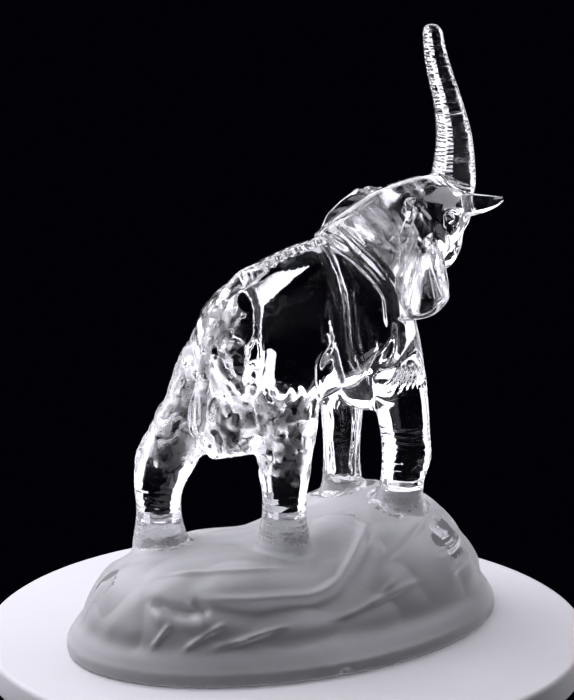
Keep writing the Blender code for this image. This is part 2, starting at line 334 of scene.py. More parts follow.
def pick(obj, chosen):
    """Selects these vertices, and only them, with the edges and faces between them."""
    mesh = obj.data
    chosen = np.asarray(chosen, bool)
    mesh.vertices.foreach_set("select", chosen)
    ends = np.empty(2 * len(mesh.edges), np.int32)
    mesh.edges.foreach_get("vertices", ends)
    mesh.edges.foreach_set("select", chosen[ends.reshape(-1, 2)].all(axis=1))
    if mesh.polygons:
        mesh.polygons.foreach_set("select", np.zeros(len(mesh.polygons), bool))


def skin_group(obj, start, count, sides):
    """Bridges the rings of one group and closes its two ends."""
    index = np.arange(len(obj.data.vertices))
    pick(obj, (index >= start) & (index < start + count))
    bpy.ops.object.mode_set(mode="EDIT")
    bpy.ops.mesh.bridge_edge_loops()
    for low in (start, start + count - sides):
        bpy.ops.mesh.select_all(action="DESELECT")
        bpy.ops.object.mode_set(mode="OBJECT")
        pick(obj, (index >= low) & (index < low + sides))
        bpy.ops.object.mode_set(mode="EDIT")
        bpy.ops.mesh.edge_face_add()
    bpy.ops.mesh.select_all(action="SELECT")
    bpy.ops.mesh.normals_make_consistent(inside=False)
    bpy.ops.object.mode_set(mode="OBJECT")


def apply_modifier(obj, kind, **settings):
    """Adds one modifier with these settings and applies it."""
    step = obj.modifiers.new(kind.title(), kind)
    for name, value in settings.items():
        setattr(step, name, value)
    select_only(obj)
    bpy.ops.object.modifier_apply(modifier=step.name)


def one_skin(obj, voxel, softness):
    """Runs overlapping shapes into one skin, and rounds the creases between them by softness (mm)."""
    apply_modifier(obj, "REMESH", mode="VOXEL", voxel_size=voxel * MM)
    passes = max(4, round(2 * (softness / voxel) ** 2))
    apply_modifier(obj, "SMOOTH", factor=0.5, iterations=passes)


def cut(obj, point, facing, lap, chosen=None):
    """Removes what lies ahead of a plane that is moved on by lap (mm), and closes the cut."""
    normal = place(*facing).normalized()
    select_only(obj)
    if chosen is None:
        edit_all()
    else:
        bpy.ops.object.mode_set(mode="EDIT")
        bpy.ops.mesh.select_mode(type="FACE")
        bpy.ops.mesh.select_all(action="DESELECT")
        bpy.ops.object.mode_set(mode="OBJECT")
        obj.data.polygons.foreach_set("select", chosen)
        bpy.ops.object.mode_set(mode="EDIT")
    bpy.ops.mesh.bisect(plane_co=place(*point) + normal * lap * MM, plane_no=normal, use_fill=True,
                        clear_outer=True)
    bpy.ops.mesh.select_mode(type="VERT")
    bpy.ops.object.mode_set(mode="OBJECT")


def trim_with(obj, cutter):
    """Removes what lies inside the cutter."""
    apply_modifier(obj, "BOOLEAN", operation="DIFFERENCE", solver="MANIFOLD", object=cutter)


def shrunken(obj, amount):
    """A copy with its skin moved in by this much (mm), to trim the pieces that are bonded to it."""
    copy = obj.copy()
    copy.data = obj.data.copy()
    bpy.context.scene.collection.objects.link(copy)
    apply_modifier(copy, "DISPLACE", strength=-amount * MM, mid_level=0)
    return copy


def discard(obj):
    bpy.data.objects.remove(obj, do_unlink=True)


def keep_largest(obj):
    """Drops the crumbs that a trim leaves behind."""
    select_only(obj)
    bpy.ops.object.mode_set(mode="EDIT")
    bpy.ops.mesh.separate(type="LOOSE")
    bpy.ops.object.mode_set(mode="OBJECT")
    parts = sorted(bpy.context.selected_objects, key=lambda part: len(part.data.vertices))
    name = obj.name
    for crumb in parts[:-1]:
        discard(crumb)
    parts[-1].name = name
    return parts[-1]


class Clay:
    """A mesh being sculpted: its points and outward normals as side, ahead, up in millimetres."""

    def __init__(self, obj):
        self.obj = obj
        self.read()
        self.push = np.zeros(len(self.points))

    def read(self):
        count = len(self.obj.data.vertices)
        points, normals = np.empty(3 * count, np.float32), np.empty(3 * count, np.float32)
        self.obj.data.vertices.foreach_get("co", points)
        self.obj.data.vertex_normals.foreach_get("vector", normals)
        self.points = points.reshape(-1, 3).astype(float) * (1 / MM, -1 / MM, 1 / MM)
        self.normals = normals.reshape(-1, 3).astype(float) * (1, -1, 1)

    def raise_by(self, height):
        """Adds a height (mm) along the outward normal at every point."""
        self.push += height

    def stroke(self, route, half_width, height, seen_from=(0, 0, 0), taper=True):
        """Adds a ridge, or a groove if the height is negative, along a route drawn on the surface.

        seen_from is the direction that the route is drawn from: only the skin facing it is touched, and
        depth along that direction doesn't count. Without one, the route is a line in space.
        """
        look = np.array(seen_from, float)
        points, route = self.points, np.array(route, float)
        facing = np.ones(len(points))
        if look.any():
            look /= np.linalg.norm(look)
            facing = np.clip(self.normals @ look * 1.6, 0, 1)
            points = points - np.outer(points @ look, look)
            route = route - np.outer(route @ look, look)
        reach = 3 * half_width
        inside = (points > route.min(0) - reach).all(1) & (points < route.max(0) + reach).all(1)
        near = np.where(inside & (facing > 0))[0]
        best, where = np.full(len(near), 1e9), np.zeros(len(near))
        gaps = len(route) - 1
        for k, (start, stop) in enumerate(zip(route, route[1:])):
            way = stop - start
            share = np.clip((points[near] - start) @ way / max(way @ way, 1e-9), 0, 1)
            away = np.linalg.norm(points[near] - start - share[:, None] * way, axis=1)
            closer = away < best
            best[closer] = away[closer]
            where[closer] = (k + share[closer]) / gaps
        strength = bell(best, half_width)
        if taper:
            strength *= np.clip(np.sin(math.pi * np.clip(where, 0.02, 0.98)) * 2.2, 0, 1)
        self.push[near] += height * strength * facing[near]

    def finish(self):
        """Moves the mesh's points by what the strokes have added up to."""
        move_points(self.obj, self.points + self.normals * self.push[:, None])
        self.push[:] = 0
        self.read()


def fade(value, start, stop):
    """0 before start, 1 after stop, and a smooth step between; start may be the greater."""
    share = np.clip((value - start) / (stop - start), 0, 1)
    return share * share * (3 - 2 * share)


def bell(away, width):
    """1 where away is 0, and a smooth fall towards 0 past this width."""
    return np.exp(-(away / width) ** 2)


def on_side(route, mirror):
    """A smooth curve through a route, or through its mirror image if mirror is -1."""
    return smooth_rows(route) * (mirror, 1, 1)


def ripple(points, size, seed=0.0):
    """Smooth noise from about -1 to 1 over features of this size (mm); size may have three values."""
    return np.array([noise.noise(p) for p in (points / size + seed).tolist()])


def around_leg(obj, spot):
    """Which faces lie within reach of an ankle's middle line, and the height of every face (mm)."""
    centres = np.empty(3 * len(obj.data.polygons), np.float32)
    obj.data.polygons.foreach_get("center", centres)
    x, y, height = centres.reshape(-1, 3).T / MM
    side, ahead, _ = spot
    return (np.abs(x - side) < ANKLE_REACH) & (np.abs(-y - ahead) < ANKLE_REACH), height


def folds(points, size, seed=0.0):
    """Noise with sharp valleys, like folds of loose skin, from 0 in a valley to about 1."""
    return np.abs(ripple(points, size, seed)) * 2


# ---------------------------------------------------------------- finishes

def node_group(name, inputs, outputs):
    """A shader group with float inputs {name: default} and named outputs, and its two end nodes."""
    group = bpy.data.node_groups.new(name, "ShaderNodeTree")
    for label, default in inputs.items():
        socket = group.interface.new_socket(label, in_out="INPUT", socket_type="NodeSocketFloat")
        socket.default_value = default
    for label, kind in outputs.items():
        group.interface.new_socket(label, in_out="OUTPUT", socket_type=kind)
    return group, group.nodes.new("NodeGroupInput"), group.nodes.new("NodeGroupOutput")


def add_node(tree, kind, **settings):
    made = tree.nodes.new(kind)
    for name, value in settings.items():
        setattr(made, name, value)
    return made


def fill(node, values):
    """Sets a node's sockets to plain values."""
    for label, value in values.items():
        node.inputs[label].default_value = value


def noise_node(tree, coords, scale, detail=2.0, roughness=0.5, distortion=0.0):
    """Noise on these coordinates; scale is in features per metre."""
    made = add_node(tree, "ShaderNodeTexNoise")
    fill(made, {"Scale": scale, "Detail": detail, "Roughness": roughness, "Distortion": distortion})
    tree.links.new(coords, made.inputs["Vector"])
    return made.outputs["Fac"]


def span_node(tree, value, low, high, to_low, to_high):
    """Maps a value from one range to another, clamped."""
    made = add_node(tree, "ShaderNodeMapRange")
    fill(made, {"From Min": low, "From Max": high, "To Min": to_low, "To Max": to_high})
    tree.links.new(value, made.inputs["Value"])
    return made.outputs["Result"]


def attribute_node(tree, label):
    """The number painted on each point under this label."""
    return add_node(tree, "ShaderNodeAttribute", attribute_name=label).outputs["Fac"]


def blend_node(tree, share, first, second):
    """Blends from the first colour to the second; each is a plain colour or a socket."""
    made = add_node(tree, "ShaderNodeMix", data_type="RGBA")
    tree.links.new(share, made.inputs[0])
    for k, colour in ((6, first), (7, second)):
        if isinstance(colour, tuple):
            made.inputs[k].default_value = (*colour, 1)
        else:
            tree.links.new(colour, made.inputs[k])
    return made.outputs[2]


def darker(colour, share):
    """The colour with this share of its light."""
    return tuple(part * share for part in colour)


def maths(tree, operation, first, second):
    made = add_node(tree, "ShaderNodeMath", operation=operation)
    for k, value in enumerate((first, second)):
        if isinstance(value, (int, float)):
            made.inputs[k].default_value = value
        else:
            tree.links.new(value, made.inputs[k])
    return made.outputs[0]


def polish_group():
    """Fire polish: broad soft waves left by the flame, a faint patchy haze, and a milky bloom."""
    group, inside, out = node_group(
        "Fire polish", {"Wave Height": 1.0, "Haze": 0.02, "Bloom": 0.0},
        {"Height": "NodeSocketFloat", "Roughness": "NodeSocketFloat"})
    coords = add_node(group, "ShaderNodeTexCoord").outputs["Object"]
    broad = noise_node(group, coords, 140.0, 2.0, 0.45)
    fine = noise_node(group, coords, 520.0, 2.0, 0.5, 0.6)
    waves = maths(group, "ADD", broad, maths(group, "MULTIPLY", fine, 0.25))
    group.links.new(maths(group, "MULTIPLY", waves, inside.outputs["Wave Height"]), out.inputs["Height"])
    smear = span_node(group, noise_node(group, coords, 60.0, 5.0, 0.6, 1.5), 0.45, 0.8, 0, 1)
    patchy = span_node(group, noise_node(group, coords, 190.0, 3.0, 0.5, 1.0), 0.35, 0.6, 0.15, 1)
    haze = maths(group, "MULTIPLY", smear, inside.outputs["Haze"])
    bloom = maths(group, "MULTIPLY", patchy, inside.outputs["Bloom"])
    group.links.new(maths(group, "ADD", haze, bloom), out.inputs["Roughness"])


def frost_group():
    """Acid frost: a fine even grain over a soft mottle, with the frost thinner where the mask is low."""
    group, inside, out = node_group(
        "Acid frost", {"Frost": 1.0, "Rough": 0.5, "Clear": 0.03},
        {"Height": "NodeSocketFloat", "Roughness": "NodeSocketFloat", "Mottle": "NodeSocketFloat"})
    coords = add_node(group, "ShaderNodeTexCoord").outputs["Object"]
    grain = noise_node(group, coords, 3800.0, 2.0, 0.7)
    mottle = noise_node(group, coords, 90.0, 5.0, 0.6, 0.8)
    ragged = span_node(group, noise_node(group, coords, 260.0, 4.0, 0.6), 0.3, 0.7, -0.25, 0.25)
    edge = maths(group, "ADD", inside.outputs["Frost"], ragged)
    frost = span_node(group, edge, 0.35, 0.65, 0, 1)
    uneven = span_node(group, mottle, 0.3, 0.7, -0.07, 0.07)
    rough = maths(group, "ADD", inside.outputs["Rough"], uneven)
    wide = maths(group, "SUBTRACT", rough, inside.outputs["Clear"])
    spread = maths(group, "ADD", maths(group, "MULTIPLY", wide, frost), inside.outputs["Clear"])
    group.links.new(spread, out.inputs["Roughness"])
    group.links.new(maths(group, "MULTIPLY", grain, frost), out.inputs["Height"])
    group.links.new(mottle, out.inputs["Mottle"])


def new_finish(name, colour=None):
    """A material's tree and its one shader. A colour that is the same all over is set on the shader."""
    made = bpy.data.materials.new(name)
    made.use_nodes = True
    shader = made.node_tree.nodes["Principled BSDF"]
    if colour:
        fill(shader, {"Base Color": (*colour, 1)})
    return made.node_tree, shader


def glass_group(tree, shader, name, label, mask):
    """Places a finish's shared group, with its mask painted on the piece, and joins it to the shader."""
    made = add_node(tree, "ShaderNodeGroup", node_tree=bpy.data.node_groups[name])
    tree.links.new(attribute_node(tree, mask), made.inputs[label])
    tree.links.new(made.outputs["Roughness"], shader.inputs["Roughness"])
    return made


def add_bump(tree, shader, height, distance, strength):
    """Turns a height into the shader's normal."""
    bump = add_node(tree, "ShaderNodeBump")
    fill(bump, {"Strength": strength, "Distance": distance})
    tree.links.new(height, bump.inputs["Height"])
    tree.links.new(bump.outputs["Normal"], shader.inputs["Normal"])


def crystal_finish(name, wave, haze):
    """Clear fire-polished crystal."""
    settings = bpy.context.scene.figurine_glass
    tree, shader = new_finish(name, tuple(settings.clear_colour))
    fill(shader, {"Metallic": 0, "IOR": settings.refraction, "Transmission Weight": 1})
    polish = glass_group(tree, shader, "Fire polish", "Bloom", "bloom")
    fill(polish, {"Wave Height": wave, "Haze": haze})
    add_bump(tree, shader, polish.outputs["Height"], 0.0004, 0.35)


def frost_finish(name):
    """Acid-frosted crystal: still glass, but the etched skin scatters the light."""
    settings = bpy.context.scene.figurine_glass
    colour = tuple(settings.frost_colour)
    tree, shader = new_finish(name)
    fill(shader, {"Metallic": 0, "IOR": settings.refraction,
                  "Transmission Weight": settings.frost_transmission})
    frost = glass_group(tree, shader, "Acid frost", "Frost", "frost")
    fill(frost, {"Rough": settings.frost_roughness})
    mottle = span_node(tree, frost.outputs["Mottle"], 0.35, 0.65, 0, 1)
    tone = blend_node(tree, mottle, darker(colour, 0.94), colour)
    # painted shade: the "depth" attribute darkens the frost colour on the thick middle of the mound's
    # sides, standing in for the light lost inside the thick glass
    thick_side_shade = blend_node(tree, attribute_node(tree, "depth"), tone, darker(colour, 0.78))
    tree.links.new(thick_side_shade, shader.inputs["Base Color"])
    add_bump(tree, shader, frost.outputs["Height"], 0.00006, 0.5)


def matt_finish(name, colour):
    """A plain matt finish for the floor, with a very faint mottle."""
    tree, shader = new_finish(name)
    coords = add_node(tree, "ShaderNodeTexCoord").outputs["Object"]
    shade = noise_node(tree, coords, 12.0, 6.0, 0.6)
    tree.links.new(blend_node(tree, shade, darker(colour, 0.96), colour), shader.inputs["Base Color"])
    tree.links.new(span_node(tree, shade, 0.3, 0.7, 0.55, 0.7), shader.inputs["Roughness"])
    return bpy.data.materials[name]


# Wave height and haze of each clear finish
CRYSTAL = {"polished_crystal": (0.6, 0.02), "pressed_crystal": (1.0, 0.03), "fluted_crystal": (1.8, 0.1)}


def finish_named(name):
    """The finish of that name, made once with its groups."""
    if "Fire polish" not in bpy.data.node_groups:
        polish_group()
        frost_group()
    if name not in bpy.data.materials:
        if name == "satin_frost":
            frost_finish(name)
        else:
            crystal_finish(name, *CRYSTAL[name])
    return bpy.data.materials[name]


def complete(obj, finish, node):
    """Gives a finished piece its material and smooth shading, puts it on the one body, and hides the CAD
    node it stands for.
    """
    obj.data.materials.clear()
    obj.data.materials.append(finish_named(finish))
    select_only(obj)
    bpy.ops.object.shade_smooth_by_angle(angle=math.radians(SHADE_ANGLE))
    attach(obj, BODY_NAME)
    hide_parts(node)


# ---------------------------------------------------------------- the animal's one skin

def whole_animal(voxel):
    """Barrel, skull, legs, jaw and trunk root run into one smooth skin."""
    groups = [[level_ring(row, LIMB_SIDES) for row in smooth_rows(levels, LIMB_CUTS)] for levels in LIMBS]
    barrel, skull = [], []
    for ahead, top, bottom, width in smooth_rows(BARREL, LIMB_CUTS):
        upright = (0, 0, (top - bottom) / 2)
        barrel.append(ellipse((0, ahead, (top + bottom) / 2), upright, (width, 0, 0), LIMB_SIDES))
    for ahead, up, height, width, lean in smooth_rows(SKULL, LIMB_CUTS):
        tilt = math.radians(lean)
        upright = (0, -height * math.sin(tilt), height * math.cos(tilt))
        skull.append(ellipse((0, ahead, up), upright, (width, 0, 0), LIMB_SIDES))
    groups += [barrel, skull]
    animal = skin_rings("animal", groups)
    one_skin(animal, voxel, bpy.context.scene.figurine_casting.softness)
    return animal


def hindquarters(points):
    """1 on the rump and thighs, falling to 0 on the smooth flanks and the lower legs."""
    _, ahead, up = points.T
    rump = fade(ahead, -24, -31) * fade(up, 142, 128)
    thigh = fade(ahead, 6, -6) * fade(up, 110, 98)
    return np.maximum(rump, thigh) * fade(up, 60, 74)


def paint(obj, label, values):
    """Stores one number for each point, for the finish to read."""
    layer = obj.data.attributes.new(label, "FLOAT", "POINT")
    layer.data.foreach_set("value", np.asarray(values, np.float32))


ABOVE = (0, 0, 1)  # a stroke drawn as seen from above
SPINE = ((0, -24, 141), (0, -8, 147), (0, 8, 152), (0, 24, 156))
KNUCKLES, KNUCKLE_GAP = 10, 4.4
# Drawn on the right side and mirrored to the left
BLADE = (
    (-22, 13, 157),
    (-24, 19, 152.5),
    (-26, 25, 147),
    (-27, 28.8, 140),
    (-27, 30.3, 132),
    (-27, 31, 120),
    (-26, 28.4, 111),
    (-24, 24.8, 104),
)
FLANK_FOLD = ((-25, 0.5, 97), (-26, -0.5, 104), (-27, 0, 112), (-26, 3.5, 118))
NECK_CREASE = ((-3, 160), (-14, 154), (-20, 146), (-22, 138), (-20, 130))  # side, up
NECK_CREASES = (18.0, 21.8, 25.4)  # how far ahead each one starts
ELBOW_WRINKLES = 8


def model_loins(clay):
    """Spine, rump and thighs: knuckles down the spine and loose folds of skin over the hindquarters."""
    clay.stroke(smooth_rows(SPINE), 3.2, 1.0, ABOVE)
    for k in range(KNUCKLES):
        middle = -20 + KNUCKLE_GAP * k
        knuckle = ((-3.6, middle - 1.2, 150), (3.6, middle + 1.2, 150))
        clay.stroke(knuckle, 1.1, -0.6, ABOVE, taper=False)
    rear = hindquarters(clay.points)
    swirl = folds(clay.points + 3.0 * ripple(clay.points, 8, 3)[:, None], (7, 7, 11), 1.7)
    clay.raise_by(1.15 * (swirl - 0.5) * rear)
    clay.raise_by(0.3 * ripple(clay.points, 3.0, 9) * rear)


def model_shoulder(clay):
    """Shoulder blades, neck creases, the fold in front of each thigh, and the elbow wrinkles."""
    for mirror in (1, -1):
        seen = (-mirror, 0, 0.15)
        blade = on_side(BLADE, mirror)
        clay.stroke(blade, 1.7, -1.1, seen)
        clay.stroke(blade + (0, 4.5, 0.5), 2.6, 0.8, seen)
        clay.stroke(on_side(FLANK_FOLD, mirror), 1.6, -0.9, (-mirror, 0.3, 0))
    for start in NECK_CREASES:
        crease = [(side, start + 0.6 * (153 - up), up) for side, up in NECK_CREASE]
        for mirror in (1, -1):
            clay.stroke(on_side(crease, mirror), 1.1, -0.9, (-mirror, 0, 0.4))
    for k in range(ELBOW_WRINKLES):
        top = np.array((-24, 36 + 2.3 * k, 105.5 - 0.35 * k))
        for mirror in (1, -1):
            wrinkle = np.array((top, top + (0, -1.1, -5), top + (0, -3.6, -11 + 0.6 * k)))
            clay.stroke(wrinkle * (mirror, 1, 1), 0.85, -0.85, (-mirror, 0.2, 0))


def ring_wrinkles(clay, middle, low, high, gap, depth, reach, seed):
    """Level wrinkles round one leg, each a little crooked."""
    side, ahead, up = clay.points.T
    away = np.hypot(side - middle[0], ahead - middle[1])
    near = (away < reach) & (up > low - 4) & (up < high + 4)
    points = clay.points[near]
    wander = ripple(points, 7, seed) * 1.4
    phase = (points[:, 2] + wander - low) / gap
    wave = np.maximum(0, np.cos(2 * math.pi * phase)) ** 3
    strength = fade(points[:, 2], low - 3, low + 1) * fade(points[:, 2], high + 3, high - 1)
    patchy = 0.55 + 0.45 * ripple(points, 6, seed + 5)
    push = np.zeros(len(side))
    push[near] = -depth * wave * strength * patchy
    clay.raise_by(push)


def model_legs(clay):
    """Knee and ankle wrinkles, and the flutes down the left front leg."""
    ring_wrinkles(clay, (-14.5, 46.5), 56, 78, 2.8, 0.42, 15, 1)
    ring_wrinkles(clay, (14, 34.8), 56, 70, 2.9, 0.32, 13, 2)
    ring_wrinkles(clay, (18, -45.5), 46, 60, 2.6, 0.4, 15, 3)
    ring_wrinkles(clay, (-15, -9.5), 51, 60, 2.8, 0.35, 14, 4)
    side, ahead, up = clay.points.T
    turn = np.arctan2(ahead - 34.8, side - 14)
    near = (np.hypot(side - 14, ahead - 34.6) < 12) * fade(up, 90, 80) * fade(up, 50, 56)
    flutes = np.sin(turn * 11 + ripple(clay.points, 9, 4) * 2.2)
    clay.raise_by(0.22 * flutes * near)


def lower_legs_off(body):
    """Trims each leg where its frosted ankle begins."""
    for spot in ANKLES.values():
        near, height = around_leg(body, spot)
        cut(body, spot, (0, 0, -1), BOND_LAP, near & (height < spot[2] + CUT_BAND))


class FIGURINE_OT_body(bpy.types.Operator):
    """Models the clear barrel, neck and legs"""

    bl_idname = "figurine.body"
    bl_label = "Body"

    def execute(self, context):
        body = whole_animal(context.scene.figurine_casting.voxel)
        body.name = "clear_body"
        point, facing = NECK_JOINT
        cut(body, point, facing, BOND_LAP)
        clay = Clay(body)
        model_loins(clay)
        model_shoulder(clay)
        model_legs(clay)
        clay.finish()
        lower_legs_off(body)
        points = Clay(body).points
        neck = fade(points[:, 1], 22, 34) * fade(points[:, 2], 118, 130)
        paint(body, "bloom", np.maximum(0.4 * hindquarters(points), 0.26 * neck))
        complete(body, "polished_crystal", "body")
        return {"FINISHED"}


EYE = (-14, 66, 158.5)
# The lines of the right side of the face, each a route, half width and height, mirrored to the left
FACE_LINES = (
    (((-12, 61, 160.5), (-14, 64, 162), (-14, 68, 161.5), (-12, 71, 159.5)), 0.9, 0.7),
    (((-12, 61, 157), (-14, 64.5, 155), (-13, 69, 154.6)), 0.8, -0.6),
    (((-15, 58, 152), (-15, 61, 147), (-12, 64, 142), (-9, 67, 139)), 1.3, -0.9),
    (((-13, 63, 153), (-13, 66, 148), (-11, 68.5, 144)), 1.0, -0.6),
    (((-9, 78, 157), (-9.5, 76, 151), (-8, 75, 146), (-5, 76, 141)), 1.0, -0.8),
    (((-15, 54, 165), (-15, 57, 160), (-16, 58, 154)), 1.4, -0.8),
)
BROW_FURROWS = 4


def model_face(clay):
    """Eyes, lids, cheek folds, mouth line and the furrows across the brow."""
    _, ahead, up = clay.points.T
    for mirror in (1, -1):
        eye = np.array(EYE) * (mirror, 1, 1)
        away = np.linalg.norm((clay.points - eye) * (1, 1, 1.3), axis=1)
        clay.raise_by(0.9 * bell(away, 1.7) - 0.7 * bell(away - 3.1, 0.9))
        for route, half_width, height in FACE_LINES:
            clay.stroke(on_side(route, mirror), half_width, height, (-mirror, 0.25, 0.1))
    for k in range(BROW_FURROWS):
        brow = [(side, 71 - 2.6 * k - abs(side) * 0.12, 176) for side in (-9, -5, 0, 5, 9)]
        clay.stroke(brow, 0.8, -0.55, (0, -0.5, 1))
    dome = fade(up, 160, 168) * fade(ahead, 70, 60)
    clay.raise_by(0.2 * ripple(clay.points, 8, 2) * dome)
    cheek = fade(up, 160, 150)
    clay.raise_by(0.25 * ripple(clay.points, (6, 6, 14), 6) * cheek)


class FIGURINE_OT_head(bpy.types.Operator):
    """Models the skull and lower jaw"""

    bl_idname = "figurine.head"
    bl_label = "Head"

    def execute(self, context):
        head = whole_animal(context.scene.figurine_casting.head_voxel)
        head.name = "clear_head"
        point, facing = NECK_JOINT
        cut(head, point, [-way for way in facing], BOND_LAP)
        cut(head, *TRUNK_JOINT, BOND_LAP)
        clay = Clay(head)
        model_face(clay)
        clay.finish()
        paint(head, "bloom", 0.2 * fade(clay.points[:, 1], 68, 56))
        complete(head, "polished_crystal", "head")
        return {"FINISHED"}


NOSTRIL = (1.5, 68.0, 230.9)


class FIGURINE_OT_trunk(bpy.types.Operator):
    """Models the raised trunk with its close rings of wrinkles and its two nostrils"""

    bl_idname = "figurine.trunk"
    bl_label = "Trunk"

    def execute(self, context):
        settings = context.scene.figurine_trunk
        rows = smooth_rows(TRUNK, settings.rows // (len(TRUNK) - 1))
        length = np.append(0, np.linalg.norm(np.diff(rows[:, :3], axis=0), axis=1).cumsum())
        rings = []
        turn = np.arange(settings.sides) * 2 * math.pi / settings.sides
        for row, run in zip(rows, length):
            ring = level_ring(row, settings.sides)
            wander = 0.5 * np.sin(turn + run * 0.35) + 0.3 * np.sin(2 * turn - run * 0.9)
            groove = np.maximum(0, np.cos(2 * math.pi * (run + wander) / (settings.ring_gap / MM))) ** 2
            strength = fade(run, 5, 12) * fade(row[2], 230.5, 227)
            outward = ring - row[:3]
            outward /= np.linalg.norm(outward, axis=1)[:, None]
            depth = settings.ring_depth / MM * strength * (0.8 + 0.3 * np.sin(3 * turn + run * 1.3))
            depth *= 0.3 + 0.7 * np.cos(turn) ** 2
            rings.append(ring - outward * (groove * depth)[:, None])
        trunk = skin_rings("clear_trunk", [rings])
        point, facing = TRUNK_JOINT
        cut(trunk, point, [-way for way in facing], BOND_LAP)
        clay = Clay(trunk)
        for mirror in (1, -1):
            away = np.linalg.norm(clay.points - np.array(NOSTRIL) * (mirror, 1, 1), axis=1)
            clay.raise_by(-1.2 * bell(away, 0.8))
        clay.finish()
        complete(trunk, "pressed_crystal", "trunk")
        return {"FINISHED"}


LEFT_EAR_BULGE = 2.6  # how far the left ear's upper edge stands higher than the right one's
EAR_ROWS = 30  # rows of points from an ear's root to its edge


def fluted_ear(name, mirror, cutter):
    """A dished leaf of even thickness, pleated like a fan."""
    settings = bpy.context.scene.figurine_ears
    edge = smooth_rows(EAR_EDGE, 8)
    columns = len(edge)
    bpy.ops.object.select_all(action="DESELECT")
    bpy.ops.mesh.primitive_grid_add(x_subdivisions=columns - 1, y_subdivisions=EAR_ROWS, size=2 * MM)
    ear = bpy.context.object
    ear.name = name
    along = np.tile(np.linspace(0, 1, columns), EAR_ROWS + 1)
    out = np.repeat(np.linspace(0, 1, EAR_ROWS + 1), columns)
    root = np.outer(1 - along, EAR_ROOT_TOP) + np.outer(along, EAR_ROOT_BOTTOM)
    if mirror > 0:
        edge[:, 2] += LEFT_EAR_BULGE * bell(edge[:, 0] - 21, 6) * fade(edge[:, 2], 145, 152)
    rim = np.tile(edge, (EAR_ROWS + 1, 1))
    points = root + (rim - root) * out[:, None]
    dish = 3.5 * np.sin(math.pi * out) * np.sin(math.pi * along)
    turns = 2 * math.pi * settings.pleats * along
    pleat = np.cos(turns + 1.5 * np.sin(out * 3)) * fade(out, 0.1, 0.45)
    flute = np.sin(2.7 * turns + 2 * np.sin(out * 4)) * fade(out, 0.2, 0.6)
    points[:, 1] += dish + settings.pleat_depth / MM * (pleat + 0.35 * flute) * fade(out, 1.08, 0.85)
    points[:, 0] *= mirror
    move_points(ear, points)
    apply_modifier(ear, "SOLIDIFY", thickness=settings.thickness, offset=0.0)
    edit_all()
    bpy.ops.mesh.normals_make_consistent(inside=False)
    bpy.ops.object.mode_set(mode="OBJECT")
    apply_modifier(ear, "SUBSURF", levels=1, render_levels=1)
    trim_with(ear, cutter)
    ear = keep_largest(ear)
    paint(ear, "bloom", 0.18 * fade(np.abs(Clay(ear).points[:, 0]), 14, 24))
    return ear


class FIGURINE_OT_ears(bpy.types.Operator):
    """Models both ears, trimmed to the sides of the head"""

    bl_idname = "figurine.ears"
    bl_label = "Ears"

    def execute(self, context):
        animal = whole_animal(1.0)
        cutter = shrunken(animal, BOND_LAP)
        for name, mirror in (("left_ear", 1), ("right_ear", -1)):
            complete(fluted_ear("clear_" + name, mirror, cutter), "fluted_crystal", name)
        discard(cutter)
        discard(animal)
        return {"FINISHED"}


class FIGURINE_OT_tusks(bpy.types.Operator):
    """Models both tusks, trimmed to the face"""

    bl_idname = "figurine.tusks"
    bl_label = "Tusks"

    def execute(self, context):
        cutter = shrunken(bpy.data.objects["clear_head"], BOND_LAP)
        for name, mirror in (("left_tusk", 1), ("right_tusk", -1)):
            tusk = skin_rings("clear_" + name, [tube_rings(TUSK, 64, 14, mirror)])
            trim_with(tusk, cutter)
            complete(keep_largest(tusk), "polished_crystal", name)
        discard(cutter)
        return {"FINISHED"}


class FIGURINE_OT_tail(bpy.types.Operator):
    """Models the tail down the rump, with a tuft of drawn-out strands at its end"""

    bl_idname = "figurine.tail"
    bl_label = "Tail"

    def execute(self, context):
        tail = skin_rings("clear_tail", [tube_rings(TAIL, 64, 28)])
        clay = Clay(tail)
        side, ahead, up = clay.points.T
        middle = np.interp(up, (82, 86, 92.5, 101.5, 111.5), (1.5, 1, 0, -1.5, -3))
        turn = np.arctan2(side - middle, ahead + 38)
        tuft = fade(up, 103, 94)
        clay.raise_by(0.35 * np.sin(turn * 7 + up * 0.12) * tuft)
        rings = np.maximum(0, np.cos(2 * math.pi * up / 3.4)) ** 3
        clay.raise_by(-0.3 * rings * fade(up, 100, 106) * fade(up, 142, 134))
        clay.finish()
        cutter = shrunken(bpy.data.objects["clear_body"], BOND_LAP)
        trim_with(tail, cutter)
        discard(cutter)
        complete(keep_largest(tail), "polished_crystal", "tail")
        return {"FINISHED"}


# ---------------------------------------------------------------- the mound

def rim_share(side, ahead):
    """How far out a place on the mound is, from 0 in the middle to 1 at the rim."""
    return np.hypot(side / BASE_HALF_WIDTH, ahead / BASE_HALF_LENGTH)


def mound_height(side, ahead):
    """Height of the mound's skin (mm): a steep shoulder all round, and a top that climbs to the front."""
    reach = np.clip(rim_share(side, ahead), 1e-6, 1)
    end_power = np.where(ahead > 0, FRONT_POWER, REAR_POWER)
    power = SIDE_POWER + (end_power - SIDE_POWER) * (ahead / BASE_HALF_LENGTH / reach) ** 2
    climb = np.clip((ahead - CLIMB_START) / CLIMB_LENGTH, 0, 1)
    crest = REAR_CREST + CREST_RISE * climb ** 2 * (3 - 2 * climb)
    return RIM_HEIGHT + (crest - RIM_HEIGHT) * (1 - reach ** power) ** SHOULDER_ROUND


